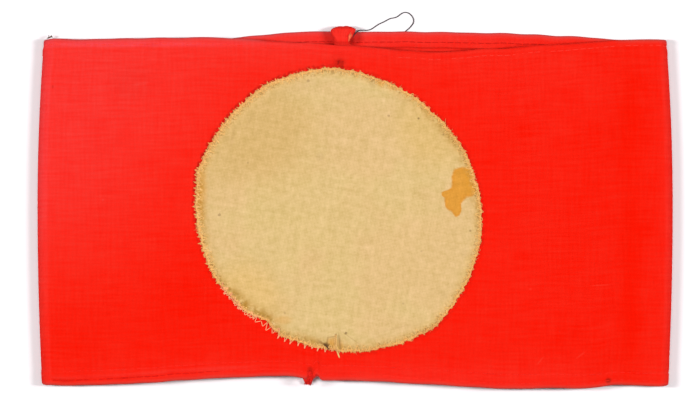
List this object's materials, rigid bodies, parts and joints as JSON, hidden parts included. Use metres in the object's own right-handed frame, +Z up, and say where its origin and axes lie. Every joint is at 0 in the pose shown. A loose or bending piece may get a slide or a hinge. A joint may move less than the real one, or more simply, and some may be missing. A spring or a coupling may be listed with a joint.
{
  "type": "cloth armband",
  "caption": "Flat-lying sewn cloth armband: a hemmed loop that slips over a sleeve, with a round patch stitched on its front and a seam inside its back.",
  "frame": {"origin": "on the surface that the armband lies on, at the middle of its overall width and height seen from above", "axes": "+X along the flattened loop from its left fold to its right one, +Y towards its upper mouth, +Z up out of the surface, towards the side with the patch"},
  "size_m": [0.2022, 0.1152, 0.0103],
  "materials": {
    "band_cloth": "matt plain-weave cotton, bright red",
    "patch_cloth": "matt brushed cotton, aged cream",
    "seam_cloth": "matt plain-weave cotton, red, creased"
  },
  "bodies": {
    "root": {"band": "band_cloth", "round_patch": "patch_cloth", "seam_allowance": "seam_cloth"}
  },
  "joints": []
}
